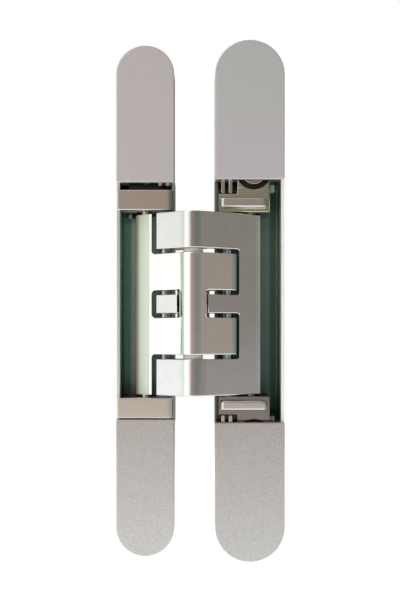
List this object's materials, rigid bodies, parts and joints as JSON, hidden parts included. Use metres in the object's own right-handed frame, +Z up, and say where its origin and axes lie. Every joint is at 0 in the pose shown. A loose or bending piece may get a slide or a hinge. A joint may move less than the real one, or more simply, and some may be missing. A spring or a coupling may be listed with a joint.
{
  "type": "concealed door hinge",
  "caption": "Concealed door hinge: two mortised trays joined by crossed scissor arms that fold from open to shut, with cover plates and height and side adjusters.",
  "frame": {"origin": "middle of the frame body on its front plane, flush with the face of the door frame", "axes": "+X towards the door body when open, +Y into the wood, +Z up along the bodies"},
  "size_m": [0.0581, 0.0329, 0.18],
  "materials": {
    "cover_paint": "satin nickel paint",
    "body_zinc": "satin nickel paint",
    "arm_zinc": "satin nickel paint",
    "block_zinc": "satin nickel paint",
    "plated_steel": "zinc plated",
    "spring_steel": "bright",
    "bearing_nylon": "moulded"
  },
  "bodies": {
    "frame": {"frame_body": "body_zinc", "frame_upper_cover": "cover_paint", "frame_lower_cover": "cover_paint", "frame_upper_cover_clip": "spring_steel", "frame_lower_cover_clip": "spring_steel", "frame_upper_clamp_screw": "plated_steel", "frame_lower_clamp_screw": "plated_steel", "frame_upper_height_screw": "plated_steel", "frame_lower_height_screw": "plated_steel"},
    "frame_blocks": {"frame_upper_block": "block_zinc", "frame_lower_block": "block_zinc", "frame_pivot_pin": "plated_steel", "frame_upper_pivot_bush": "bearing_nylon", "frame_lower_pivot_bush": "bearing_nylon"},
    "outer_arm": {"outer_arm": "arm_zinc", "centre_pin": "plated_steel", "upper_centre_washer": "bearing_nylon", "lower_centre_washer": "bearing_nylon", "outer_arm_guide_pin": "plated_steel", "outer_arm_upper_sleeve": "bearing_nylon", "outer_arm_lower_sleeve": "bearing_nylon"},
    "inner_arm": {"inner_arm": "arm_zinc", "upper_knuckle_bush": "bearing_nylon", "lower_knuckle_bush": "bearing_nylon", "inner_arm_guide_pin": "plated_steel", "inner_arm_upper_sleeve": "bearing_nylon", "inner_arm_lower_sleeve": "bearing_nylon"},
    "door_carriages": {"door_upper_carriage": "block_zinc", "door_lower_carriage": "block_zinc", "door_pivot_pin": "plated_steel", "door_upper_pivot_bush": "bearing_nylon", "door_lower_pivot_bush": "bearing_nylon", "door_upper_travel_stop": "bearing_nylon", "door_lower_travel_stop": "bearing_nylon"},
    "door": {"door_body": "body_zinc", "door_upper_cover": "cover_paint", "door_lower_cover": "cover_paint", "door_upper_cover_clip": "spring_steel", "door_lower_cover_clip": "spring_steel", "door_upper_clamp_screw": "plated_steel", "door_lower_clamp_screw": "plated_steel"}
  },
  "joints": [
    {"name": "height_adjust", "type": "slide", "parent": "frame", "child": "frame_blocks", "axis": [0, 0, 1], "range_m": [-0.0001, 0.0023]},
    {"name": "fold", "type": "hinge", "parent": "frame_blocks", "child": "outer_arm", "pos_m": [0.0067, 0.006, 0], "axis": [0, 0, -1], "range_deg": [0, 97.73]},
    {"name": "centre_turn", "type": "hinge", "parent": "outer_arm", "child": "inner_arm", "pos_m": [0.0165, -0.003, 0], "axis": [0, 0, -1], "range_deg": [-27.22, 0]},
    {"name": "door_turn", "type": "hinge", "parent": "inner_arm", "child": "door_carriages", "pos_m": [0.0287, 0.006, 0], "axis": [0, 0, -1], "range_deg": [0, 109.49]},
    {"name": "side_adjust", "type": "slide", "parent": "door_carriages", "child": "door", "axis": [1, 0, 0], "range_m": [-0.0013, 0.0013]}
  ],
  "couplings": [
    {"joint": "centre_turn", "follows": "fold", "ratio": -0.27845},
    {"joint": "door_turn", "follows": "fold", "ratio": 1.1202}
  ]
}
